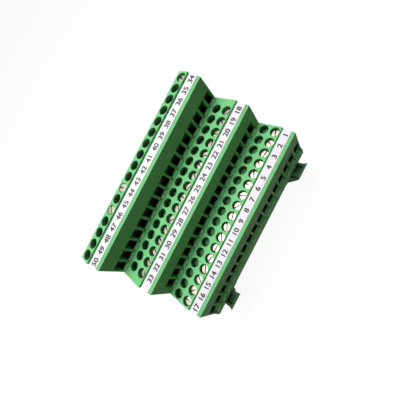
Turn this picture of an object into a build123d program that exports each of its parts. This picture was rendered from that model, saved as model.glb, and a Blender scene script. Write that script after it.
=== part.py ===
from build123d import *
import os

# Three-level field wiring terminal block on two rail feet, in millimetres.
# X runs along the block, Y from the wire side (front) to the ribbon header (back), Z up.
# The origin is the middle of the base, at the height of the foot undersides.

# How far a cut runs out past the solid that it cuts
overcut = 1.0

# Poles and levels
pitch = 5.08
long_row = 17
short_row = long_row - 1
level_count = 3
level_run = 16.7
level_rise = 15.2
end_margin = 0.15
block_length = long_row * pitch + 2 * end_margin
end_x = block_length / 2

# Height of the lowest deck, and the place of its screw row
deck_height = 40.0
front_row_y = -17.9

# Section of one level, measured from its screw row and its deck
deck_front = 2.3
marker_step = 0.8
ridge_out = 7.5
ridge_drop = 2.6
back_wall = 2.8

# Marker strips in their grooves
marker_depth = 0.7
marker_width = 3.35
marker_proud = 0.1
marker_start = 0.4

# Wire entries: the well behind each sill, and the sill's slope out to the lip
entry_width = 4.0
entry_top = 9.2
entry_reach = 3.0
well_floor = 17.2
sill_top = 14.9
sill_back = 6.75
sill_front = 7.15
sill_slope_drop = 18.0

# Flared lip of the lowest level
lip_out = 8.2
lip_top = 17.4
lip_bottom = 20.2
flare_start = 14.6
flare_bulge = 0.3

# Screw holes, test holes and the clamp chambers under them
hole_radius = 2.1
test_row = 5.27
test_depth = 7.5
chamber_top = 6.0
chamber_floor = 14.6
chamber_back = 1.75
chamber_front = 2.9
chamber_play = 0.2

# Underside of the moulding
foot_recess = 2.2
housing_drop = 24.0
wall = 1.6
hollow_clear = 18.1
rear_skin = 1.6

# Clamp cages and their screws
cage_clearance = 0.05
cage_top = 7.0
cage_wall = 0.6
cage_height = 7.4
screw_radius = 1.9
screw_slot = 0.6
screw_slot_depth = 0.8

# How deep each screw head sits, by level, and the few in the top level that are backed out
head_drop = (1.5, 1.8, 2.5)
backed_out_drop = {0: 0.9, 10: 0.05, 12: 0.1}
slot_turn = 47
slot_turn_of_level = 20

# Contact strips and their tails
strip = 0.5
strip_width = 2.2
strip_depth = 9.9
tail_width = 1.0
tail_clearance = 0.06
tail_offset = 1.9
tail_offset_tested = 7.0
tail_below_board = 1.5

# Circuit board and the carrier that holds its edges
board_thickness = 1.6
board_clearance = 0.05
board_end_margin = 0.5
carrier_front = 3.2
carrier_wall = 1.3
carrier_floor = 1.5
carrier_lip = 1.0
carrier_ledge = 1.6
ledge_thickness = 1.2
carrier_drop = 30.5
carrier_rise = 20.7

# Rail feet for 35 mm mounting rail
foot_spacing = 69.4
foot_width = 12.6
foot_plate = 2.6
rail_width = 35.0
rail_flange = 1.0
rail_gap = 0.3
seat_pad = 0.3
seat_pad_width = 31.0
rail_centre = 5.5
hook_reach = 1.8
hook_thickness = 2.6
hook_body = 5.5
hook_tip = 0.6
hook_chamfer = 1.0
foot_sole = 1.2

# Sliding latches
latch_width = 8.6
latch_clearance = 0.25
latch_wall = 1.3
latch_body = 6.5
latch_web = 4.8
latch_step = 1.2
tray_top = 21.0
tray_bottom = 24.0
tray_out = 12.1
tray_back = 6.6
tray_floor = 0.8
tray_waist = 0.9
tray_rake = 0.9

# Ribbon header, with one pin for each terminal
header_pitch = 2.54
header_columns = (long_row + short_row + long_row) // 2
header_depth = 8.6
header_height = 9.0
header_floor = 2.6
header_wall = 1.2
header_end_wall = 2.0
header_end_play = 0.4
header_slot = 5.2
header_slot_sill = 1.0
header_front_gap = 0.1
header_back_gap = 0.7
pin_size = 0.64
pin_height = 7.4
pin_clearance = 0.05

# Ejector levers of the header
lever_thickness = 4.6
lever_clearance = 0.2
lever_pivot_height = 3.2
lever_pin_radius = 0.9
lever_bore_clearance = 0.05
lever_toe_pocket = 0.9
lever_underside = 0.6
lever_chamfer = 1.2
lever_rise = 5.0
lever_lip = 1.6
lever_lip_height = 1.4
lever_lip_slope = 0.6
cheek_extra = 1.6
cheek_step = 2.0

# Screws that hold the housing to the board, and the feet to the carrier
boss_radius = 2.6
boss_overlap = 0.5
screw_hole_clearance = 0.1
housing_screw_radius = 1.25
housing_screw_head = 2.3
housing_screw_head_height = 1.6
housing_screw_grip = 7.0
foot_screw_radius = 1.5
foot_screw_head = 2.7
foot_screw_head_height = 1.8
foot_screw_grip = 3.5
foot_screw_offset = 9.0

# Places worked out from the sizes above
board_top_z = deck_height - housing_drop
board_bottom_z = board_top_z - board_thickness
tail_end_z = board_bottom_z - tail_below_board
carrier_bottom_z = deck_height - carrier_drop
carrier_top_z = deck_height - carrier_rise
carrier_front_y = front_row_y - carrier_front - carrier_wall
seat_z = carrier_bottom_z - foot_plate
rail_front_y = rail_centre - rail_width / 2 - rail_gap
rail_back_y = rail_centre + rail_width / 2 + rail_gap
hook_z = seat_z - seat_pad - rail_flange - rail_gap
guide_front_y = rail_front_y - latch_body
tray_top_z = deck_height - tray_top
tray_bottom_z = deck_height - tray_bottom
boss_x = (long_row / 2 - 1) * pitch
boss_y = front_row_y + level_run - ridge_out + wall + boss_radius
housing_back_y = front_row_y + (level_count - 1) * level_run + back_wall
header_front_y = housing_back_y + header_front_gap
header_back_y = header_front_y + header_depth
header_y = (header_front_y + header_back_y) / 2
carrier_back_y = header_back_y + header_back_gap + carrier_lip + carrier_wall
header_top_z = board_top_z + header_height
header_half = header_columns * header_pitch / 2 + header_end_wall
lever_x = header_half + lever_thickness / 2
lever_pin_z = board_top_z + lever_pivot_height


def prism(points, x_from, x_to):
    """A YZ outline swept along X."""
    face = Plane.YZ * make_face(Polyline(*points, close=True))
    return Pos(x_from, 0, 0) * extrude(face, x_to - x_from)


def block(x_from, x_to, y_from, y_to, z_from, z_to):
    size = Box(x_to - x_from, y_to - y_from, z_to - z_from, align=(Align.MIN, Align.MIN, Align.MIN))
    return Pos(x_from, y_from, z_from) * size


def side_block(side, inner, outer, y_from, y_to, z_from, z_to):
    """A block given by its distances from the middle, on the left (-1) or right (1) side."""
    ends = (side * inner, side * outer)
    return block(min(ends), max(ends), y_from, y_to, z_from, z_to)


def post(x, y, z, radius, height):
    return Pos(x, y, z) * Cylinder(radius, height, align=(Align.CENTER, Align.CENTER, Align.MIN))


def round_hole(x, y, z, radius, depth):
    return Pos(x, y, z) * Cylinder(radius, depth, align=(Align.CENTER, Align.CENTER, Align.MAX))


def group(solids):
    return Compound(children=solids)


def row_y(level):
    return front_row_y + level * level_run


def deck_z(level):
    return deck_height + level * level_rise


def pole_places(level):
    """X of each pole, first terminal number first."""
    count = short_row if level == 1 else long_row
    return [((count - 1) / 2 - index) * pitch for index in range(count)]


def marker_slope():
    return (ridge_drop - marker_step) / (ridge_out - deck_front)


def marker_points(level, lift, sink):
    """Outline of the marker band along the sloped front of a level."""
    slope = marker_slope()
    y_back = row_y(level) - deck_front - marker_start
    y_front = y_back - marker_width
    z_back = deck_z(level) - marker_step - marker_start * slope
    z_front = z_back - marker_width * slope
    return [
        (y_back, z_back + lift),
        (y_front, z_front + lift),
        (y_front, z_front - sink),
        (y_back, z_back - sink),
    ]


def staircase():
    """The outer form: three decks with sloped marker fronts, plain risers and a flared lip."""
    y0, z0 = row_y(0), deck_z(0)
    lip_edge = (y0 - lip_out, z0 - lip_top)
    flare_top = (y0 - ridge_out, z0 - flare_start)
    flare_middle = (y0 - ridge_out - flare_bulge * (lip_out - ridge_out), z0 - (lip_top + flare_start) / 2)
    corners = [flare_top]
    for level in range(level_count):
        y, z = row_y(level), deck_z(level)
        corners.append((y - ridge_out, z - ridge_drop))
        corners.append((y - deck_front, z - marker_step))
        corners.append((y - deck_front, z))
        if level < level_count - 1:
            corners.append((row_y(level + 1) - ridge_out, z))
    corners.append((housing_back_y, deck_z(level_count - 1)))
    corners.append((housing_back_y, board_top_z))
    corners.append((y0 - foot_recess, board_top_z))
    corners.append((y0 - foot_recess, z0 - lip_bottom))
    corners.append((y0 - lip_out, z0 - lip_bottom))
    corners.append(lip_edge)
    edges = [Line(start, end) for start, end in zip(corners, corners[1:])]
    edges.append(ThreePointArc(lip_edge, flare_middle, flare_top))
    face = Plane.YZ * make_face(edges)
    return Pos(-end_x, 0, 0) * extrude(face, block_length)


def housing_hollow():
    """The stepped hollow under the clamp chambers, open at the board."""
    front = row_y(0) - foot_recess + wall
    points = [(front, board_top_z - overcut), (front, deck_z(0) - hollow_clear)]
    for level in range(1, level_count):
        inner = row_y(level) - ridge_out + wall
        points.append((inner, deck_z(level - 1) - hollow_clear))
        points.append((inner, deck_z(level) - hollow_clear))
    back = housing_back_y - rear_skin
    points.append((back, deck_z(level_count - 1) - hollow_clear))
    points.append((back, board_top_z - overcut))
    return prism(points, -end_x + wall, end_x - wall)


def wire_pocket(level, x):
    """Square wire entry: a well behind a low sill, and the sill's slope that runs out to the front."""
    y, z = row_y(level), deck_z(level)
    run = lip_out - sill_front
    fall = sill_slope_drop - sill_top
    stop = level_rise if level else sill_slope_drop + fall
    slope_end = y - sill_front - (stop - sill_top) * run / fall
    outside = y - lip_out - run - overcut
    points = [
        (y - entry_reach, z - entry_top),
        (outside, z - entry_top),
        (outside, z - stop),
        (slope_end, z - stop),
        (y - sill_front, z - sill_top),
        (y - sill_back, z - sill_top),
        (y - sill_back, z - well_floor),
        (y - entry_reach, z - well_floor),
    ]
    return prism(points, x - entry_width / 2, x + entry_width / 2)


def clamp_chamber(level, x):
    y, z = row_y(level), deck_z(level)
    half = entry_width / 2
    front, back = y - chamber_front - chamber_play, y + chamber_back
    return block(x - half, x + half, front, back, z - chamber_floor, z - chamber_top)


def tail_y(level):
    """Front face of the tails of one level: behind the test holes, where the level has them."""
    return row_y(level) + (tail_offset_tested if level < level_count - 1 else tail_offset)


def tail_slot(level, x):
    """Slot for the flat strip behind the clamp, and for its tail down to the board."""
    y, z = tail_y(level), deck_z(level) - strip_depth
    gap = tail_clearance
    half, narrow = strip_width / 2 + gap, tail_width / 2 + gap
    shelf = block(x - half, x + half, row_y(level), y + strip + gap, z - strip - gap, z + gap)
    channel = block(x - narrow, x + narrow, y - gap, y + strip + gap, board_top_z - overcut, z)
    return [shelf, channel]


def boss_top_z():
    return deck_z(1) - hollow_clear + boss_overlap


def terminal_housing():
    body = staircase() - housing_hollow()
    cuts = []
    for side in (-1, 1):
        body += post(side * boss_x, boss_y, board_top_z, boss_radius, boss_top_z() - board_top_z)
        cuts.append(round_hole(side * boss_x, boss_y, board_top_z + housing_screw_grip,
                               housing_screw_radius, housing_screw_grip + overcut))
    for level in range(level_count):
        top = deck_z(level) + overcut
        for x in pole_places(level):
            cuts.append(wire_pocket(level, x))
            cuts.append(clamp_chamber(level, x))
            cuts.append(round_hole(x, row_y(level), top, hole_radius, chamber_top + 2 * overcut))
            cuts += tail_slot(level, x)
            if level < level_count - 1:
                cuts.append(round_hole(x, row_y(level) + test_row, top, hole_radius, test_depth + overcut))
        cuts.append(prism(marker_points(level, 2 * overcut, marker_depth), -end_x - overcut, end_x + overcut))
    return body - cuts


def marker_strip(level):
    return prism(marker_points(level, marker_proud, marker_depth), -end_x, end_x)


def clamp_cage(level, x):
    """A stirrup of bent strip, open front to back for the wire and the contact strip."""
    y, top = row_y(level), deck_z(level) - cage_top
    half = entry_width / 2 - cage_clearance
    front, back = y - chamber_front, y + chamber_back - cage_clearance
    bottom = top - cage_height
    shell = block(x - half, x + half, front, back, bottom, top)
    window = block(x - half + cage_wall, x + half - cage_wall, front - overcut, back + overcut,
                   bottom + cage_wall, top - 2 * cage_wall)
    return shell - window


def screw_top_z(level, index):
    drop = head_drop[level]
    if level == level_count - 1:
        drop = backed_out_drop.get(index, drop)
    return deck_z(level) - drop


def clamp_screw(level, index, x):
    """Slotted screw whose point bears on the cage."""
    y, top, foot = row_y(level), screw_top_z(level, index), deck_z(level) - cage_top
    angle = index * slot_turn + level * slot_turn_of_level
    slot = Rot(0, 0, angle) * Box(2 * screw_radius + overcut, screw_slot, 2 * screw_slot_depth)
    return post(x, y, foot, screw_radius, top - foot) - Pos(x, y, top) * slot


def contact_strip(level, x):
    """Flat strip through the cage, with its tail down through the board."""
    y, top = tail_y(level), deck_z(level) - strip_depth
    half, narrow = strip_width / 2, tail_width / 2
    bar = block(x - half, x + half, row_y(level) - chamber_front, y + strip, top - strip, top)
    tail = block(x - narrow, x + narrow, y, y + strip, tail_end_z, top - strip)
    return bar + tail


def at_each_pole(maker, level):
    return group([maker(level, x) for x in pole_places(level)])


def clamp_screws(level):
    return group([clamp_screw(level, index, x) for index, x in enumerate(pole_places(level))])


def header_pin_places():
    columns = [((header_columns - 1) / 2 - index) * header_pitch for index in range(header_columns)]
    return [(x, header_y + row * header_pitch / 2) for x in columns for row in (-1, 1)]


def header_pin_holes():
    half = pin_size / 2 + pin_clearance
    bottom, top = board_bottom_z - overcut, board_top_z + header_floor + overcut
    return [block(x - half, x + half, y - half, y + half, bottom, top) for x, y in header_pin_places()]


def circuit_board():
    front = row_y(0) - carrier_front + board_clearance
    back = carrier_back_y - carrier_wall - board_clearance
    edge_x = end_x - board_end_margin
    plate = block(-edge_x, edge_x, front, back, board_bottom_z, board_top_z)
    gap = tail_clearance
    half = tail_width / 2 + gap
    cuts = header_pin_holes()
    for level in range(level_count):
        y = tail_y(level)
        for x in pole_places(level):
            cuts.append(block(x - half, x + half, y - gap, y + strip + gap, board_bottom_z - overcut,
                              board_top_z + overcut))
    for side in (-1, 1):
        cuts.append(round_hole(side * boss_x, boss_y, board_top_z + overcut,
                               housing_screw_radius + screw_hole_clearance, board_thickness + 2 * overcut))
    return plate - cuts


def carrier_wall_points(outer, inward):
    """One side of the carrier: wall, ledge under the board edge and lip over it."""
    inner = outer + inward * carrier_wall
    lip_end = inner + inward * carrier_lip
    lip_z = board_top_z + board_clearance
    ledge_end = inner + inward * carrier_ledge
    ledge_z = board_bottom_z - board_clearance
    return [
        (outer, carrier_bottom_z), (outer, carrier_top_z), (inner, carrier_top_z),
        (inner, lip_z + carrier_lip), (lip_end, lip_z + carrier_lip), (lip_end, lip_z), (inner, lip_z),
        (inner, ledge_z), (ledge_end, ledge_z), (ledge_end, ledge_z - ledge_thickness),
        (inner, ledge_z - ledge_thickness), (inner, carrier_bottom_z),
    ]


def board_carrier():
    floor_z = carrier_bottom_z + carrier_floor
    body = block(-end_x, end_x, carrier_front_y, carrier_back_y, carrier_bottom_z, floor_z)
    body += prism(carrier_wall_points(carrier_front_y, 1), -end_x, end_x)
    body += prism(carrier_wall_points(carrier_back_y, -1), -end_x, end_x)
    radius = foot_screw_radius + screw_hole_clearance
    return body - [round_hole(x, y, floor_z + overcut, radius, carrier_floor + 2 * overcut)
                   for x, y in foot_screw_places()]


def foot_screw_places():
    rows = (rail_centre - foot_screw_offset, rail_centre + foot_screw_offset)
    return [(side * foot_spacing / 2, y) for side in (-1, 1) for y in rows]


def rail_foot(x):
    """Plate under the carrier with the fixed hook behind the rail and the latch guide before it."""
    half = foot_width / 2
    pad_half = seat_pad_width / 2
    end_y = rail_back_y + hook_body
    hook = [
        (rail_back_y, seat_z), (rail_back_y, hook_z), (rail_back_y - hook_reach, hook_z),
        (rail_back_y - hook_reach, hook_z - hook_tip), (rail_back_y, hook_z - hook_thickness),
        (rail_back_y, 0), (end_y - hook_chamfer, 0), (end_y, hook_chamfer), (end_y, seat_z),
    ]
    body = block(x - half, x + half, guide_front_y, end_y, seat_z, carrier_bottom_z)
    body += prism(hook, x - half, x + half)
    body += block(x - half, x + half, rail_centre - pad_half, rail_centre + pad_half,
                  seat_z - seat_pad, seat_z)
    body += block(x - half, x + half, guide_front_y, rail_front_y, 0, foot_sole)
    guide = latch_width / 2 + latch_clearance
    for side in (-1, 1):
        body += Pos(x, 0, 0) * side_block(side, guide, half, guide_front_y, rail_front_y, 0, seat_z)
    hole = round_hole(0, 0, carrier_bottom_z + overcut, foot_screw_radius, foot_plate + 2 * overcut)
    return body - [Pos(hole_x, hole_y, 0) * hole
                   for hole_x, hole_y in foot_screw_places() if abs(hole_x - x) < half]


def rail_latch(x):
    """Sliding latch: nose under the rail, riser past the carrier, and the open tray at the front."""
    half = latch_width / 2
    slide_bottom = foot_sole + latch_clearance
    slide_top = seat_z - latch_clearance
    slide_front = guide_front_y - latch_step
    under_carrier = carrier_bottom_z - latch_clearance
    web_back = carrier_front_y - latch_clearance
    web_front = web_back - latch_wall
    tray_front = row_y(0) - tray_out
    tray_end = row_y(0) - tray_back
    floor_z = tray_bottom_z + tray_floor
    nose_y = rail_front_y + hook_reach
    neck_y = guide_front_y - latch_clearance
    slider = [
        (slide_front, slide_bottom), (rail_front_y, slide_bottom), (rail_front_y, hook_z - hook_thickness),
        (nose_y, hook_z - hook_tip), (nose_y, hook_z), (rail_front_y, hook_z),
        (rail_front_y, slide_top), (slide_front, slide_top),
    ]
    neck = [
        (neck_y, slide_top - latch_wall), (neck_y, under_carrier),
        (web_back, under_carrier), (web_back, floor_z),
    ]
    web = neck + [
        (tray_end, floor_z), (tray_end, tray_bottom_z), (web_front, tray_bottom_z), (web_front, under_carrier),
        (slide_front, slide_top), (slide_front, slide_top - latch_wall),
    ]
    rib = neck + [
        (tray_front + latch_wall, floor_z), (tray_front + latch_wall, tray_bottom_z),
        (web_back + latch_wall / 2, slide_top), (slide_front, slide_top - latch_wall),
    ]
    body = prism(slider, x - half, x + half)
    body += prism(web, x - latch_web / 2, x + latch_web / 2)
    body += latch_tray(x, tray_front, tray_end)
    return body + prism(rib, x - half, x - half + latch_wall)


def latch_tray(x, front, end):
    """Open tray with waisted sides and a raked front, pulled forward with a screwdriver."""
    half = latch_width / 2
    middle = (front + end) / 2
    shoulder = half - tray_waist / 2
    outline = [
        Line((x - half, front), (x + half, front)),
        ThreePointArc((x + half, front), (x + half - tray_waist, middle), (x + shoulder, end)),
        Line((x + shoulder, end), (x - shoulder, end)),
        ThreePointArc((x - shoulder, end), (x - half + tray_waist, middle), (x - half, front)),
    ]
    tray = Pos(0, 0, tray_bottom_z) * extrude(make_face(outline), tray_top_z - tray_bottom_z)
    inner = half - tray_waist - latch_wall
    pocket = block(x - inner, x + inner, front + latch_wall, end + overcut, tray_bottom_z + tray_floor,
                   tray_top_z + overcut)
    rake = [
        (front, tray_top_z), (front - overcut, tray_top_z), (front - overcut, tray_bottom_z - overcut),
        (front + tray_rake, tray_bottom_z - overcut), (front + tray_rake, tray_bottom_z),
    ]
    return tray - pocket - prism(rake, x - half - overcut, x + half + overcut)


def header_shroud():
    """Open-topped box for the ribbon plug, with lever cheeks at its ends and a polarising slot."""
    body = block(-header_half, header_half, header_front_y, header_back_y, board_top_z, header_top_z)
    inner = header_half - header_end_wall + header_end_play
    front_wall_y, back_wall_y = header_front_y + header_wall, header_back_y - header_wall
    floor_z = board_top_z + header_floor
    body -= block(-inner, inner, front_wall_y, back_wall_y, floor_z, header_top_z + overcut)
    body -= block(-header_slot / 2, header_slot / 2, header_front_y - overcut, front_wall_y + overcut,
                  floor_z + header_slot_sill, header_top_z + overcut)
    cheek_end = header_half + lever_thickness + cheek_extra
    for side in (-1, 1):
        for y in (header_front_y, back_wall_y):
            body += side_block(side, header_half, cheek_end, y, y + header_wall, board_top_z,
                               header_top_z - cheek_step)
        body -= side_block(side, header_half - lever_toe_pocket, header_half + overcut, front_wall_y,
                           back_wall_y, board_top_z - overcut, header_top_z + overcut)
        bore = Cylinder(lever_pin_radius + lever_bore_clearance, header_depth + 2 * overcut)
        body -= Pos(side * lever_x, header_y, lever_pin_z) * Rot(90, 0, 0) * bore
    return body - header_pin_holes()


def header_lever(side):
    """Ejector lever that swings outward on its two moulded pins."""
    depth = header_depth / 2 - header_wall - lever_clearance
    inner = header_half + lever_clearance
    outer = header_half + lever_thickness - lever_clearance
    bottom = board_top_z + lever_underside
    top = header_top_z + lever_rise
    lip_z = top - lever_lip_height
    outline = [
        (inner, bottom + lever_chamfer), (inner, lip_z - lever_lip_slope), (inner - lever_lip, lip_z),
        (inner - lever_lip, top), (outer, top), (outer, bottom + lever_chamfer),
        (outer - lever_chamfer, bottom), (inner + lever_chamfer, bottom),
    ]
    face = Plane.XZ * make_face(Polyline(*[(side * out, up) for out, up in outline], close=True))
    body = Pos(0, header_y, 0) * extrude(face, depth, both=True)
    pin = Rot(90, 0, 0) * Cylinder(lever_pin_radius, header_depth)
    return body + Pos(side * lever_x, header_y, lever_pin_z) * pin


def header_pins():
    half = pin_size / 2
    return group([block(x - half, x + half, y - half, y + half, tail_end_z, board_top_z + pin_height)
                  for x, y in header_pin_places()])


def fixing_screw(radius, head_radius, head_height, grip):
    """Pan-head screw on the origin, driven upward, with its head's seat at zero."""
    return post(0, 0, 0, radius, grip) + round_hole(0, 0, 0, head_radius, head_height)


def housing_screws():
    screw = fixing_screw(housing_screw_radius, housing_screw_head, housing_screw_head_height,
                         board_thickness + housing_screw_grip - overcut)
    return group([Pos(side * boss_x, boss_y, board_bottom_z) * screw for side in (-1, 1)])


def foot_screws():
    screw = fixing_screw(foot_screw_radius, foot_screw_head, foot_screw_head_height, foot_screw_grip)
    seat = carrier_bottom_z + carrier_floor
    return group([Pos(x, y, seat) * Rot(180, 0, 0) * screw for x, y in foot_screw_places()])


def build():
    nodes = {
        "terminal_housing": terminal_housing(),
        "circuit_board": circuit_board(),
        "board_carrier": board_carrier(),
        "header_shroud": header_shroud(),
        "header_pins": header_pins(),
        "header_lever_left": header_lever(-1),
        "header_lever_right": header_lever(1),
        "housing_screws": housing_screws(),
        "foot_screws": foot_screws(),
        "rail_foot_left": rail_foot(-foot_spacing / 2),
        "rail_foot_right": rail_foot(foot_spacing / 2),
        "rail_latch_left": rail_latch(-foot_spacing / 2),
        "rail_latch_right": rail_latch(foot_spacing / 2),
    }
    for level, name in enumerate(("lower", "middle", "upper")):
        nodes["marker_strip_" + name] = marker_strip(level)
        nodes["clamp_cages_" + name] = at_each_pole(clamp_cage, level)
        nodes["clamp_screws_" + name] = clamp_screws(level)
        nodes["contact_strips_" + name] = at_each_pole(contact_strip, level)
    return nodes


os.makedirs("parts", exist_ok=True)
for node, shape in build().items():
    export_step(shape, "parts/" + node + ".step")
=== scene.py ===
import math

import bmesh
import bpy
from mathutils import Matrix, Vector


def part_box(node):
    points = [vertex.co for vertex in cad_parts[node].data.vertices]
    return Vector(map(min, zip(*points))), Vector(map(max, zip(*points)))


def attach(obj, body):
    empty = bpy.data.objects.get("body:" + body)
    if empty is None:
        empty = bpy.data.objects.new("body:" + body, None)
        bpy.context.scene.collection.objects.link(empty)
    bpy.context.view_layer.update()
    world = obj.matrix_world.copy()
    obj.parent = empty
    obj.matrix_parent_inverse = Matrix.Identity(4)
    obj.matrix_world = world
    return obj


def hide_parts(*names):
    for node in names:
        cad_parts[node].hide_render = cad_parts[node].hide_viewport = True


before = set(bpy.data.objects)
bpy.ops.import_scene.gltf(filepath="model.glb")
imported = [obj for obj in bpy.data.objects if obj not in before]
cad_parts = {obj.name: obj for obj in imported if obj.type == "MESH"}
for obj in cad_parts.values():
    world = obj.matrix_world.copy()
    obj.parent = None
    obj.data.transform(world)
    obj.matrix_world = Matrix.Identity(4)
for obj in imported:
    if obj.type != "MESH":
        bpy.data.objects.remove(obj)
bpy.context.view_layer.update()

# Sizes in metres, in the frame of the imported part
MM = 0.001
PITCH = 5.08 * MM
LEVELS = ("lower", "middle", "upper")
POLES = {"lower": 17, "middle": 16, "upper": 17}
FIRST_NUMBER = {"lower": 1, "middle": 18, "upper": 34}
LEVEL_RUN = 16.7 * MM
LEVEL_RISE = 15.2 * MM
FRONT_ROW = -17.9 * MM
LOWEST_DECK = 40.0 * MM

# Soft edges of the moulded pieces
EDGE = 0.2 * MM
FINE_EDGE = 0.06 * MM
EDGE_SEGMENTS = 2
SHARP_ANGLE = math.radians(28)
WELD = 0.002 * MM
FLAT_ANGLE = math.radians(0.5)

# Clamp screws, with each driver slot's direction in degrees
SLOT_WIDTH = 0.6 * MM
SLOT_DEPTH = 0.8 * MM
SLOT_CUT = 10 * MM
SLOT_EDGE_ANGLE = math.radians(40)
HEAD_CHAMFER = 0.18 * MM
HEAD_DOME = 0.06 * MM
DOME_STEPS = 4
ROUND_SIDES = 48
SLOT_ANGLES = {
    "lower": (20, 60, 170, 45, 30, 75, 110, 140, 15, 30, 35, 0, 160, 30, 60, 135, 90),
    "middle": (150, 40, 95, 10, 120, 65, 30, 160, 80, 35, 140, 55, 75, 60, 70, 20),
    "upper": (70, 10, 130, 50, 95, 20, 150, 60, 110, 35, 100, 165, 40, 80, 125, 5, 55),
}

# Wire entries: YZ outlines in millimetres, measured from a pole's screw hole and deck
ENTRY_WIDTH = 4.0 * MM
LEDGE = (
    (-6.9, -15.3), (-8.5, -15.3),
    (-8.5, -14.85), (-8.35, -14.65), (-6.9, -14.6),
)
FUNNEL = (
    (-6.76, -14.4), (-6.95, -16.6), (-7.3, -17.25),
    (-8.3, -17.75), (-9.5, -17.75), (-9.5, -14.4),
)

# Floors of the test holes: distance behind the screw holes, radius, depth, dish and thickness
TEST_ROW = 5.27 * MM
TEST_RADIUS = 2.15 * MM
TEST_FLOOR = 3.2 * MM
TEST_DISH = 0.25 * MM
TEST_SKIN = 0.5 * MM

# Numbers on the marker strips. Each is struck several times, a little to the side, to make it bolder.
MARKER_THICKNESS = 0.8 * MM
DIGIT_SIZE = 2.95 * MM
DIGIT_WIDENED = 1.18
DIGIT_STRIKES = ((-0.13, -0.05), (-0.13, 0.05), (0, 0), (0.13, -0.05), (0.13, 0.05))
DIGIT_PROUD = 0.012 * MM
STRIKE_RISE = 0.3 * DIGIT_PROUD
DIGIT_LOWERED = 0.25 * MM
NUMBER_SPREAD = {"lower": 1.005, "middle": 1.020, "upper": 1.012}
NUMBER_SHIFT = {"lower": 0, "middle": 0.95 * MM, "upper": 0}

# Camera, from the fit of the hole rows: place, right and up directions, and lens
CAMERA_PLACE = Vector((-1.333, -62.542, 126.127)) * MM
CAMERA_RIGHT = Vector((0.46138381, -0.71931417, -0.51933814))
CAMERA_UP = Vector((0.8871068, 0.36552222, 0.28184221))
LENS = 20.24
SENSOR = 36.0
NEAR = 5 * MM

# Soft lights: name, place, size, power and colour
WHITE = (1, 1, 1)
LIGHTS = (
    ("key", (0.06, 0.17, 0.72), 0.34, 3.1, WHITE),
    ("top", (-0.05, 0.07, 0.75), 0.5, 4.05, WHITE),
    ("fill", (0.15, -0.6, 0.12), 0.4, 0.25, (1.0, 0.68, 0.36)),
)
LIGHTS_AIM = Vector((0, 0, 0.04))

# Stage: the camera sees it white, and the part gets only a little light from it
FLOOR_REACH = 3.0
FLOOR_ROUGH = 0.9
FLOOR_GLOW = 0.94
FLOOR_SEEN = (0.90, 0.90, 0.90)
FLOOR_BOUNCE = (0.080, 0.055, 0.030)
WORLD_LIGHT = 0.035
GLOSS_SEEN = 0.6

# Linear colours
HOUSING = (0.172, 0.530, 0.212)
HOUSING_DARK = (0.150, 0.480, 0.185)
MARKER = (0.76, 0.72, 0.79)
INK = (0.035, 0.028, 0.042)
NICKEL = (0.52, 0.475, 0.40)
ZINC = (0.60, 0.61, 0.60)
TIN = (0.66, 0.62, 0.50)
GOLD = (0.80, 0.58, 0.24)
MASK = (0.020, 0.130, 0.045)
MASK_DARK = (0.014, 0.091, 0.0315)
CARRIER = (0.030, 0.120, 0.038)
# Rail feet and latches: the housing's green plastic, darkened as painted shade for the shadow under the block
FOOT_SHADED = (0.052, 0.145, 0.060)
HEADER = (0.026, 0.026, 0.0273)
HEADER_DARK = (0.020, 0.020, 0.021)

# Surfaces: sizes of the patches and grain, depth of the grain, range of the roughness, and reach and
# strength of the painted shade that darkens the colour in holes
PLASTIC_CLOUDS = 6 * MM
PLASTIC_GLOSS = 2.5 * MM
PLASTIC_GRAIN = 0.16 * MM
PLASTIC_GRAIN_DEPTH = 0.006 * MM
PLASTIC_ROUGH = (0.42, 0.56)
PLASTIC_SPECULAR = 0.10
PLASTIC_SHADE = 0.8
PLASTIC_PAINTED_SHADE_REACH = 5 * MM
PLASTIC_PAINTED_SHADE_DARKEST = 0.05
PLASTIC_OPEN = 0.5
METAL_PATCHES = 0.9 * MM
METAL_GLOSS = 0.5 * MM
METAL_GRAIN = 0.12 * MM
METAL_GRAIN_DEPTH = 0.004 * MM
METAL_PAINTED_SHADE_REACH = 2 * MM
METAL_PAINTED_SHADE_DARKEST = 0.35
METAL_OPEN = 0.3
MARKER_CLOUDS = 3 * MM
MARKER_GLOSS = 1 * MM
MARKER_GRAIN = 0.2 * MM
MARKER_GRAIN_DEPTH = 0.003 * MM
MARKER_ROUGH = (0.42, 0.6)
MARKER_TINT = 1.06
INK_CLOUDS = 0.5 * MM
INK_SHADE = 0.8
INK_ROUGH = 0.55
CLOSED_SHARE = 0.12
PAINTED_SHADE_SAMPLES = 8


# Meshes and pieces

def mesh_from(shape, name):
    mesh = bpy.data.meshes.new(name)
    shape.to_mesh(mesh)
    shape.free()
    return mesh


def new_piece(name, mesh):
    made = bpy.data.objects.new(name, mesh)
    bpy.context.scene.collection.objects.link(made)
    return made


def shade(obj, made):
    obj.data.materials.clear()
    obj.data.materials.append(made)


def finish_piece(piece, made, body, slot, *replaced):
    shade(piece, made)
    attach(piece, body)
    if replaced:
        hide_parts(*replaced)
    return piece


def apply_modifiers(piece):
    bpy.context.view_layer.update()
    shown = piece.evaluated_get(bpy.context.evaluated_depsgraph_get())
    mesh = bpy.data.meshes.new_from_object(shown)
    piece.modifiers.clear()
    piece.data = mesh


def cut_away(piece, mesh):
    tool = new_piece("cutter", mesh)
    cut = piece.modifiers.new("cut", "BOOLEAN")
    cut.operation = "DIFFERENCE"
    cut.solver = "EXACT"
    cut.object = tool
    apply_modifiers(piece)
    bpy.data.objects.remove(tool)


def round_edges(piece, width, angle, miter="MITER_SHARP"):
    """Rounds each edge that turns by more than an angle."""
    soften = piece.modifiers.new("soften", "BEVEL")
    soften.width = width
    soften.segments = EDGE_SEGMENTS
    soften.limit_method = "ANGLE"
    soften.angle_limit = angle
    soften.miter_outer = miter
    apply_modifiers(piece)


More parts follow.
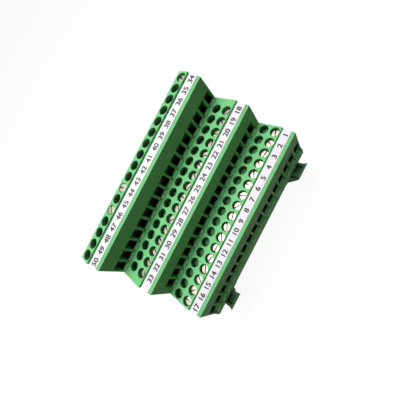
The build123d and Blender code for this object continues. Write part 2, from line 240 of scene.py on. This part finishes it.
def softened(name, source, width=EDGE, cutter=None):
    """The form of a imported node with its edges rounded, as a moulding leaves the tool."""
    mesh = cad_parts[source].data.copy()
    shape = bmesh.new()
    shape.from_mesh(mesh)
    bmesh.ops.remove_doubles(shape, verts=shape.verts, dist=WELD)
    bmesh.ops.dissolve_limit(shape, angle_limit=FLAT_ANGLE, verts=shape.verts, edges=shape.edges)
    shape.to_mesh(mesh)
    shape.free()
    piece = new_piece(name, mesh)
    if cutter:
        cut_away(piece, cutter)
    round_edges(piece, width, SHARP_ANGLE, "MITER_ARC")
    piece.data.shade_smooth()
    piece.data.set_sharp_from_angle(angle=SHARP_ANGLE)
    even = piece.modifiers.new("even", "WEIGHTED_NORMAL")
    even.keep_sharp = True
    apply_modifiers(piece)
    return piece


def level_ring(shape, x, y, z, radius):
    """The corners of a level circle."""
    turns = [2 * math.pi * side / ROUND_SIDES for side in range(ROUND_SIDES)]
    return [shape.verts.new((x + radius * math.cos(turn), y + radius * math.sin(turn), z))
            for turn in turns]


# Poles of the block

def pole_x(level, index):
    return ((POLES[level] - 1) / 2 - index) * PITCH


def row_y(level):
    return FRONT_ROW + LEVELS.index(level) * LEVEL_RUN


def deck_z(level):
    return LOWEST_DECK + LEVELS.index(level) * LEVEL_RISE


def add_prism(shape, x, y, z, points, width):
    """Extrudes a YZ outline along X, in the middle of a place."""
    left, right = [[shape.verts.new((edge, y + out * MM, z + up * MM)) for out, up in points]
                   for edge in (x - width / 2, x + width / 2)]
    shape.faces.new(left)
    shape.faces.new(list(reversed(right)))
    for here in range(len(points)):
        after = (here + 1) % len(points)
        shape.faces.new((left[after], left[here], right[here], right[after]))


def entry_prisms(name, levels, points):
    """The same outline at each wire entry of some levels."""
    shape = bmesh.new()
    for level in levels:
        for index in range(POLES[level]):
            add_prism(shape, pole_x(level, index), row_y(level), deck_z(level), points, ENTRY_WIDTH)
    bmesh.ops.recalc_face_normals(shape, faces=shape.faces)
    return mesh_from(shape, name)


def housing_shell(made):
    """The housing, with a deeper funnel at each wire entry of the lowest level."""
    funnels = entry_prisms("funnels", LEVELS[:1], FUNNEL)
    piece = softened("housing_shell", "terminal_housing", cutter=funnels)
    return finish_piece(piece, made, "base", "housing_green", "terminal_housing")


def entry_ledges(made):
    """The small ledge that stands out below each wire entry of the two upper levels."""
    piece = new_piece("entry_ledges", entry_prisms("entry_ledges", LEVELS[1:], LEDGE))
    return finish_piece(piece, made, "base", "housing_green")


def test_hole_floors(made):
    """A slightly dished floor in each test hole, closed below."""
    shape = bmesh.new()
    for level in LEVELS[:2]:
        y = row_y(level) + TEST_ROW
        z = deck_z(level) - TEST_FLOOR
        for index in range(POLES[level]):
            x = pole_x(level, index)
            middle = shape.verts.new((x, y, z - TEST_DISH))
            under = shape.verts.new((x, y, z - TEST_DISH - TEST_SKIN))
            top = level_ring(shape, x, y, z, TEST_RADIUS)
            bottom = level_ring(shape, x, y, z - TEST_SKIN, TEST_RADIUS)
            for here in range(ROUND_SIDES):
                after = (here + 1) % ROUND_SIDES
                shape.faces.new((top[here], top[after], middle))
                shape.faces.new((bottom[after], bottom[here], under))
                shape.faces.new((top[after], top[here], bottom[here], bottom[after]))
    piece = new_piece("test_hole_floors", mesh_from(shape, "test_hole_floors"))
    return finish_piece(piece, made, "base", "housing_green")


# Clamp screws

def screw_blank(radius, length):
    """A screw that stands on zero, with a domed and chamfered head."""
    shape = bmesh.new()
    profile = [(radius, 0), (radius, length - HEAD_CHAMFER), (radius - HEAD_CHAMFER, length - HEAD_DOME)]
    for step in range(1, DOME_STEPS):
        inward = 1 - step / DOME_STEPS
        profile.append(((radius - HEAD_CHAMFER) * inward, length - HEAD_DOME * inward ** 2))
    rings = [level_ring(shape, 0, 0, up, out) for out, up in profile]
    tip = shape.verts.new((0, 0, length))
    for side in range(ROUND_SIDES):
        after = (side + 1) % ROUND_SIDES
        for lower, upper in zip(rings, rings[1:]):
            shape.faces.new((lower[side], lower[after], upper[after], upper[side]))
        shape.faces.new((rings[-1][side], rings[-1][after], tip))
    shape.faces.new(list(reversed(rings[0])))
    return mesh_from(shape, "screw")


def slot_cutter(length):
    """A bar along X, through the top of a screw."""
    shape = bmesh.new()
    bmesh.ops.create_cube(shape, size=1)
    bar = Matrix.Diagonal((SLOT_CUT, SLOT_WIDTH, 2 * SLOT_DEPTH, 1))
    bmesh.ops.transform(shape, verts=shape.verts, matrix=bar)
    bmesh.ops.translate(shape, verts=shape.verts, vec=(0, 0, length))
    return mesh_from(shape, "slot")


def corners_of_solids(mesh):
    """The lowest and highest corner of each separate solid of a grouped node, from high to low X."""
    shape = bmesh.new()
    shape.from_mesh(mesh)
    bmesh.ops.remove_doubles(shape, verts=shape.verts, dist=WELD)
    unseen = set(shape.verts)
    boxes = []
    while unseen:
        wave = [unseen.pop()]
        found = []
        while wave:
            vert = wave.pop()
            found.append(vert.co.copy())
            for edge in vert.link_edges:
                other = edge.other_vert(vert)
                if other in unseen:
                    unseen.remove(other)
                    wave.append(other)
        low = Vector([min(co[axis] for co in found) for axis in range(3)])
        high = Vector([max(co[axis] for co in found) for axis in range(3)])
        boxes.append((low, high))
    shape.free()
    return sorted(boxes, key=lambda pair: -pair[0].x)


def screw_row(level, made):
    """Detailed screws in the place of one row of plain ones."""
    plain = "clamp_screws_" + level
    joined = bmesh.new()
    for (low, high), angle in zip(corners_of_solids(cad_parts[plain].data), SLOT_ANGLES[level]):
        length = high.z - low.z
        screw = new_piece("screw", screw_blank((high.x - low.x) / 2, length))
        cut_away(screw, slot_cutter(length))
        round_edges(screw, FINE_EDGE, SLOT_EDGE_ANGLE)
        centre = (low + high) / 2
        turn = Matrix.Rotation(math.radians(angle), 4, "Z")
        screw.data.transform(Matrix.Translation((centre.x, centre.y, low.z)) @ turn)
        joined.from_mesh(screw.data)
        bpy.data.objects.remove(screw)
    name = "clamp_screw_row_" + level
    mesh = mesh_from(joined, name)
    mesh.shade_smooth()
    mesh.set_sharp_from_angle(angle=SHARP_ANGLE)
    return finish_piece(new_piece(name, mesh), made, "base", "screw_nickel", plain)


# Marker strips

def digits_mesh(number):
    curve = bpy.data.curves.new("digits", "FONT")
    curve.body = str(number)
    curve.size = DIGIT_SIZE
    curve.extrude = DIGIT_PROUD
    curve.align_x = "CENTER"
    curve.align_y = "CENTER"
    text = new_piece("digits", curve)
    mesh = bpy.data.meshes.new_from_object(text.evaluated_get(bpy.context.evaluated_depsgraph_get()))
    bpy.data.objects.remove(text)
    return mesh


def number_row(level, made):
    """The printed numbers of one marker strip, laid on its slope."""
    low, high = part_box("marker_strip_" + level)
    run = high.y - low.y
    rise = high.z - low.z - MARKER_THICKNESS
    across = Vector((1, 0, 0))
    up = Vector((0, run, rise)).normalized()
    out = across.cross(up)
    turn = Matrix((across * DIGIT_WIDENED, up, out)).transposed().to_4x4()
    middle = Vector((0, (low.y + high.y) / 2, high.z - rise / 2))
    joined = bmesh.new()
    for index in range(POLES[level]):
        digits = digits_mesh(FIRST_NUMBER[level] + index)
        x = pole_x(level, index) * NUMBER_SPREAD[level] + NUMBER_SHIFT[level]
        for strike, (sideways, upward) in enumerate(DIGIT_STRIKES):
            spot = middle + across * (x + sideways * MM) + up * (upward * MM - DIGIT_LOWERED)
            spot += out * (DIGIT_PROUD + STRIKE_RISE * strike)
            stamped = digits.copy()
            stamped.transform(Matrix.Translation(spot) @ turn)
            joined.from_mesh(stamped)
    name = "marker_numbers_" + level
    return finish_piece(new_piece(name, mesh_from(joined, name)), made, "base", "marker_white")


# Materials

def scaled(colour, share):
    return tuple(min(1, channel * share) for channel in colour)


def tree_of(name):
    made = bpy.data.materials.new(name)
    made.use_nodes = True
    return made, made.node_tree, made.node_tree.nodes["Principled BSDF"]


def node(tree, kind, **values):
    """Adds a shader node, setting its named inputs and properties."""
    made = tree.nodes.new(kind)
    for key, value in values.items():
        label = key.replace("_", " ")
        if label in made.inputs:
            made.inputs[label].default_value = value
        else:
            setattr(made, key, value)
    return made


def noise(tree, size, detail=3):
    """Noise whose features are about size metres across."""
    coords = node(tree, "ShaderNodeTexCoord")
    made = node(tree, "ShaderNodeTexNoise", Scale=1 / size, Detail=detail)
    tree.links.new(coords.outputs["Object"], made.inputs["Vector"])
    return made.outputs["Fac"]


def ramp(tree, factor, low, high, start=0.3, end=0.7):
    made = node(tree, "ShaderNodeMapRange", From_Min=start, From_Max=end, To_Min=low, To_Max=high)
    tree.links.new(factor, made.inputs["Value"])
    return made.outputs["Result"]


def arithmetic(tree, operation, *operands):
    """One step of arithmetic on sockets or numbers."""
    made = node(tree, "ShaderNodeMath", operation=operation)
    for socket, operand in zip(made.inputs, operands):
        if isinstance(operand, bpy.types.NodeSocket):
            tree.links.new(operand, socket)
        else:
            socket.default_value = operand
    return made.outputs["Value"]


def blend_colours(tree, factor, first, second):
    made = node(tree, "ShaderNodeMix", data_type="RGBA")
    for socket in made.inputs:
        if socket.type == "RGBA" and socket.name == "A":
            socket.default_value = (*first, 1)
        if socket.type == "RGBA" and socket.name == "B":
            socket.default_value = (*second, 1)
    tree.links.new(factor, made.inputs["Factor"])
    return [socket for socket in made.outputs if socket.type == "RGBA"][0]


def clouded(tree, size, dark, light, detail=4):
    """A colour that drifts between two tones."""
    return blend_colours(tree, ramp(tree, noise(tree, size, detail), 0, 1), dark, light)


def recessed(tree, colour, reach, painted_shade_darkest, open_share):
    """Painted shade: darkens the base colour deep in holes and entries, by ambient occlusion, where little
    light gets in.
    """
    occlusion = node(tree, "ShaderNodeAmbientOcclusion", Distance=reach, samples=PAINTED_SHADE_SAMPLES)
    shown = ramp(tree, occlusion.outputs["AO"], painted_shade_darkest, 1, CLOSED_SHARE, open_share)
    made = node(tree, "ShaderNodeVectorMath", operation="SCALE")
    tree.links.new(colour, made.inputs[0])
    tree.links.new(shown, made.inputs["Scale"])
    return made.outputs["Vector"]


def grained(tree, shader, size, depth):
    made = node(tree, "ShaderNodeBump", Strength=1.0, Distance=depth)
    tree.links.new(noise(tree, size, detail=2), made.inputs["Height"])
    tree.links.new(made.outputs["Normal"], shader.inputs["Normal"])


def moulded(name, light, dark, rough=PLASTIC_ROUGH, painted_shade_darkest=PLASTIC_PAINTED_SHADE_DARKEST):
    """Moulded plastic: clouded colour with painted shade in its hollows, uneven gloss and a fine eroded
    grain.
    """
    made, tree, shader = tree_of(name)
    colour = clouded(tree, PLASTIC_CLOUDS, dark, light)
    # Painted shade: the colour darkens in holes and entries where ambient occlusion finds little open space.
    colour = recessed(tree, colour, PLASTIC_PAINTED_SHADE_REACH, painted_shade_darkest, PLASTIC_OPEN)
    tree.links.new(colour, shader.inputs["Base Color"])
    tree.links.new(ramp(tree, noise(tree, PLASTIC_GLOSS), *rough), shader.inputs["Roughness"])
    shader.inputs["Specular IOR Level"].default_value = PLASTIC_SPECULAR
    grained(tree, shader, PLASTIC_GRAIN, PLASTIC_GRAIN_DEPTH)
    return made


def metal(name, light, dull, rough):
    """Plated metal with a fine grain, patches that are duller by a share, and painted shade in its hollows.
    """
    made, tree, shader = tree_of(name)
    shader.inputs["Metallic"].default_value = 1.0
    colour = clouded(tree, METAL_PATCHES, scaled(light, dull), light)
    # Painted shade: the colour darkens in hollows where ambient occlusion finds little open space.
    colour = recessed(tree, colour, METAL_PAINTED_SHADE_REACH, METAL_PAINTED_SHADE_DARKEST, METAL_OPEN)
    tree.links.new(colour, shader.inputs["Base Color"])
    tree.links.new(ramp(tree, noise(tree, METAL_GLOSS), *rough), shader.inputs["Roughness"])
    grained(tree, shader, METAL_GRAIN, METAL_GRAIN_DEPTH)
    return made


def label_strip():
    """Matt plastic of the marker strips."""
    made, tree, shader = tree_of("marker white")
    colour = clouded(tree, MARKER_CLOUDS, MARKER, scaled(MARKER, MARKER_TINT), detail=3)
    tree.links.new(colour, shader.inputs["Base Color"])
    tree.links.new(ramp(tree, noise(tree, MARKER_GLOSS), *MARKER_ROUGH), shader.inputs["Roughness"])
    grained(tree, shader, MARKER_GRAIN, MARKER_GRAIN_DEPTH)
    return made


def printed_ink():
    made, tree, shader = tree_of("marker ink")
    colour = clouded(tree, INK_CLOUDS, scaled(INK, INK_SHADE), INK, detail=3)
    tree.links.new(colour, shader.inputs["Base Color"])
    shader.inputs["Roughness"].default_value = INK_ROUGH
    return made


# Stage, lights and camera

def seen_rays(tree):
    """1 for camera and transmission rays, a share for glossy rays, otherwise 0."""
    path = node(tree, "ShaderNodeLightPath").outputs
    dimmed = arithmetic(tree, "MULTIPLY", path["Is Glossy Ray"], GLOSS_SEEN)
    first = arithmetic(tree, "MAXIMUM", path["Is Camera Ray"], dimmed)
    return arithmetic(tree, "MAXIMUM", first, path["Is Transmission Ray"])


def mix_shaders(tree, share, first, second, target):
    mix = node(tree, "ShaderNodeMixShader")
    tree.links.new(share, mix.inputs["Fac"])
    tree.links.new(first, mix.inputs[1])
    tree.links.new(second, mix.inputs[2])
    tree.links.new(mix.outputs["Shader"], target.inputs["Surface"])


def floor():
    """White floor that keeps a soft shadow."""
    shape = bmesh.new()
    bmesh.ops.create_grid(shape, x_segments=1, y_segments=1, size=FLOOR_REACH)
    piece = new_piece("floor", mesh_from(shape, "floor"))
    made, tree, shader = tree_of("floor white")
    seen = seen_rays(tree)
    tree.links.new(blend_colours(tree, seen, FLOOR_BOUNCE, FLOOR_SEEN), shader.inputs["Base Color"])
    shader.inputs["Roughness"].default_value = FLOOR_ROUGH
    glow = node(tree, "ShaderNodeEmission", Strength=1.0)
    share = arithmetic(tree, "MULTIPLY", seen, FLOOR_GLOW)
    mix_shaders(tree, share, shader.outputs["BSDF"],
                glow.outputs["Emission"], tree.nodes["Material Output"])
    shade(piece, made)


def white_world():
    """A world that is white for the camera and dim as a light."""
    world = bpy.data.worlds.new("studio")
    world.use_nodes = True
    bpy.context.scene.world = world
    tree = world.node_tree
    soft = tree.nodes["Background"]
    soft.inputs["Color"].default_value = (*WHITE, 1)
    soft.inputs["Strength"].default_value = WORLD_LIGHT
    white = node(tree, "ShaderNodeBackground", Color=(*WHITE, 1), Strength=1.0)
    mix_shaders(tree, seen_rays(tree), soft.outputs["Background"],
                white.outputs["Background"], tree.nodes["World Output"])


def soft_light(name, place, size, power, colour):
    """A square soft light that faces the middle of the part."""
    lamp = bpy.data.lights.new(name, "AREA")
    lamp.shape = "SQUARE"
    lamp.size = size
    lamp.energy = power
    lamp.color = colour
    made = new_piece(name, lamp)
    made.location = Vector(place)
    made.rotation_euler = (LIGHTS_AIM - made.location).to_track_quat("-Z", "Y").to_euler()


def camera():
    lens = bpy.data.cameras.new("camera")
    lens.sensor_width = SENSOR
    lens.lens = LENS
    lens.clip_start = NEAR
    made = new_piece("camera", lens)
    back = CAMERA_RIGHT.cross(CAMERA_UP)
    turn = Matrix((CAMERA_RIGHT, CAMERA_UP, back)).transposed().to_4x4()
    made.matrix_world = Matrix.Translation(CAMERA_PLACE) @ turn
    bpy.context.scene.camera = made


camera()
floor()
white_world()
for light in LIGHTS:
    soft_light(*light)
bpy.context.scene.view_settings.view_transform = "Standard"

housing_plastic = moulded("housing green", HOUSING, HOUSING_DARK)
ledge_plastic = moulded("ledge green", HOUSING, HOUSING_DARK, painted_shade_darkest=1)
carrier_plastic = moulded("carrier green", CARRIER, scaled(CARRIER, PLASTIC_SHADE))
# Painted shade: the feet and latches take the housing's green darkened for the shadow they sit in.
foot_shaded_plastic = moulded("foot shaded green", FOOT_SHADED, scaled(FOOT_SHADED, PLASTIC_SHADE), painted_shade_darkest=0.4)
header_plastic = moulded("header black", HEADER, HEADER_DARK)
solder_mask = moulded("solder mask", MASK, MASK_DARK, rough=(0.2, 0.3))
marker_white = label_strip()
ink = printed_ink()
nickel = metal("screw nickel", NICKEL, dull=0.82, rough=(0.40, 0.55))
zinc = metal("zinc steel", ZINC, dull=0.75, rough=(0.3, 0.5))
tin = metal("tinned strip", TIN, dull=0.8, rough=(0.3, 0.5))
gold = metal("plated pin", GOLD, dull=0.85, rough=(0.2, 0.35))

housing_shell(housing_plastic)
entry_ledges(ledge_plastic)
test_hole_floors(housing_plastic)
for level in LEVELS:
    strip = "marker_strip_" + level
    band = softened("marker_band_" + level, strip, FINE_EDGE)
    finish_piece(band, marker_white, "base", "marker_white", strip)
    number_row(level, ink)
    screw_row(level, nickel)
    shade(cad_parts["clamp_cages_" + level], zinc)
    shade(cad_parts["contact_strips_" + level], tin)
for side in ("left", "right"):
    foot, latch, lever = "foot_" + side, "latch_" + side, "lever_" + side
    finish_piece(softened(foot, "rail_" + foot), foot_shaded_plastic, "base", "foot_green", "rail_" + foot)
    finish_piece(softened(latch, "rail_" + latch), foot_shaded_plastic, latch, "foot_green", "rail_" + latch)
    finish_piece(softened(lever, "header_" + lever), header_plastic, lever, "header_black", "header_" + lever)
header = softened("header_body", "header_shroud")
finish_piece(header, header_plastic, "base", "header_black", "header_shroud")
carrier = softened("carrier_profile", "board_carrier")
finish_piece(carrier, carrier_plastic, "base", "carrier_green", "board_carrier")
shade(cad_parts["circuit_board"], solder_mask)
shade(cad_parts["header_pins"], gold)
shade(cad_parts["housing_screws"], zinc)
shade(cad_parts["foot_screws"], zinc)
